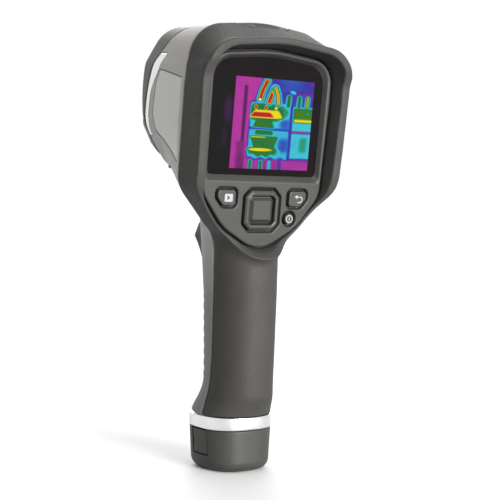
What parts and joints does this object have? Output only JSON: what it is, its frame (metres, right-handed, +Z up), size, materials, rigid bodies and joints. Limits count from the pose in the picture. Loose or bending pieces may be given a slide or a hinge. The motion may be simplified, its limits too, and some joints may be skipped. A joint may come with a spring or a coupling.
{
  "type": "thermal imaging camera",
  "caption": "Pistol-grip thermal imaging camera with a rear display and keypad, a hooded infrared lens, a trigger and a slide-out battery it stands on.",
  "frame": {"origin": "centre of the flat underside of the battery base", "axes": "+Z up along the grip, +Y towards what the lens looks at, +X to the user's right"},
  "size_m": [0.0932, 0.1363, 0.244],
  "materials": {
    "bumper_rubber": "matte",
    "side_plastic": "satin",
    "panel_plastic": "satin",
    "fascia_plastic": "satin",
    "key_plastic": "satin",
    "dark_plastic": "satin",
    "trigger_plastic": "satin",
    "base_plastic": "satin",
    "grip_rubber": "matte",
    "bright_trim": "polished",
    "steel": "brushed",
    "dark_metal": "anodised",
    "infrared_glass": "polished",
    "clear_glass": "polished",
    "display_glass": "polished",
    "circuit_board": "satin",
    "brass": "polished"
  },
  "bodies": {
    "housing": {"rear_housing": "bumper_rubber", "front_housing": "side_plastic", "trim_left": "bright_trim", "trim_right": "bright_trim", "side_panel_left": "panel_plastic", "side_panel_right": "panel_plastic", "grip_pad": "grip_rubber", "front_collar": "bumper_rubber", "nose_housing": "dark_plastic", "lens_bezel": "bumper_rubber", "ir_lens": "infrared_glass", "lens_barrel": "dark_metal", "lens_retainer": "steel", "camera_barrel": "dark_metal", "camera_lens": "clear_glass", "sensor_core": "steel", "sensor_board": "circuit_board", "fascia": "fascia_plastic", "display_window": "display_glass", "lcd_module": "dark_plastic", "keypad_membrane": "bumper_rubber", "keypad_board": "circuit_board", "chassis_plate": "steel", "main_board": "circuit_board", "connector_tray": "dark_plastic", "connector": "steel", "cover_pin": "steel", "trigger_pin": "steel", "grip_ring": "bright_trim", "battery_bay": "dark_plastic", "battery_contact_left": "brass", "battery_contact_right": "brass", "housing_screw_lower": "steel", "housing_screw_left": "steel", "housing_screw_right": "steel"},
    "playback_key": {"key_playback": "key_plastic"},
    "back_key": {"key_back": "key_plastic"},
    "power_key": {"key_power": "key_plastic"},
    "centre_key": {"nav_centre": "key_plastic"},
    "rocker_frame": {"nav_carrier": "dark_plastic"},
    "rocker_ring": {"nav_ring": "key_plastic"},
    "lever": {"shutter_lever": "dark_plastic"},
    "shutter": {"lens_shutter": "dark_plastic"},
    "cover": {"connector_cover": "bumper_rubber"},
    "trigger": {"trigger": "trigger_plastic"},
    "battery": {"battery_base": "base_plastic", "battery_pack": "dark_plastic"},
    "latch_tab_left": {"latch_left": "base_plastic"},
    "latch_tab_right": {"latch_right": "base_plastic"}
  },
  "joints": [
    {"name": "playback_key_press", "type": "slide", "parent": "housing", "child": "playback_key", "axis": [0, 0.9907, 0.1357], "range_m": [0, 0.0008], "stiffness_N_per_m": 1500},
    {"name": "back_key_press", "type": "slide", "parent": "housing", "child": "back_key", "axis": [0, 0.9907, 0.1357], "range_m": [0, 0.0008], "stiffness_N_per_m": 1500},
    {"name": "power_key_press", "type": "slide", "parent": "housing", "child": "power_key", "axis": [0, 0.9907, 0.1357], "range_m": [0, 0.0008], "stiffness_N_per_m": 1500},
    {"name": "centre_key_press", "type": "slide", "parent": "housing", "child": "centre_key", "axis": [0, 0.9907, 0.1357], "range_m": [0, 0.0008], "stiffness_N_per_m": 1500},
    {"name": "rocker_tilt_sideways", "type": "hinge", "parent": "housing", "child": "rocker_frame", "pos_m": [0, -0.02627, 0.14238], "axis": [0, -0.1357, 0.9907], "range_deg": [-2, 2], "stiffness_Nm_per_rad": 0.4},
    {"name": "rocker_tilt_updown", "type": "hinge", "parent": "rocker_frame", "child": "rocker_ring", "pos_m": [0, -0.02627, 0.14238], "axis": [1, 0, 0], "range_deg": [-2, 2], "stiffness_Nm_per_rad": 0.4},
    {"name": "shutter_lever_turn", "type": "hinge", "parent": "housing", "child": "lever", "pos_m": [0, 0.05929, 0.18459], "axis": [1, 0, 0], "range_deg": [0, 25]},
    {"name": "shutter_lift", "type": "slide", "parent": "housing", "child": "shutter", "axis": [0, -0.1357, 0.9907], "range_m": [0, 0.0147]},
    {"name": "cover_swing", "type": "hinge", "parent": "housing", "child": "cover", "pos_m": [0, -0.01573, 0.24002], "axis": [-1, 0, 0], "range_deg": [0, 100]},
    {"name": "trigger_pull", "type": "hinge", "parent": "housing", "child": "trigger", "pos_m": [0, 0.0135, 0.137], "axis": [-1, 0, 0], "range_deg": [0, 7], "stiffness_Nm_per_rad": 0.6},
    {"name": "battery_release", "type": "slide", "parent": "housing", "child": "battery", "axis": [0, 0, -1], "range_m": [0, 0.075]},
    {"name": "latch_left_press", "type": "slide", "parent": "battery", "child": "latch_tab_left", "axis": [1, 0, 0], "range_m": [0, 0.0015], "stiffness_N_per_m": 900},
    {"name": "latch_right_press", "type": "slide", "parent": "battery", "child": "latch_tab_right", "axis": [-1, 0, 0], "range_m": [0, 0.0015], "stiffness_N_per_m": 900}
  ],
  "couplings": [
    {"joint": "shutter_lift", "follows": "shutter_lever_turn", "m_per_rad": 0.03364}
  ]
}
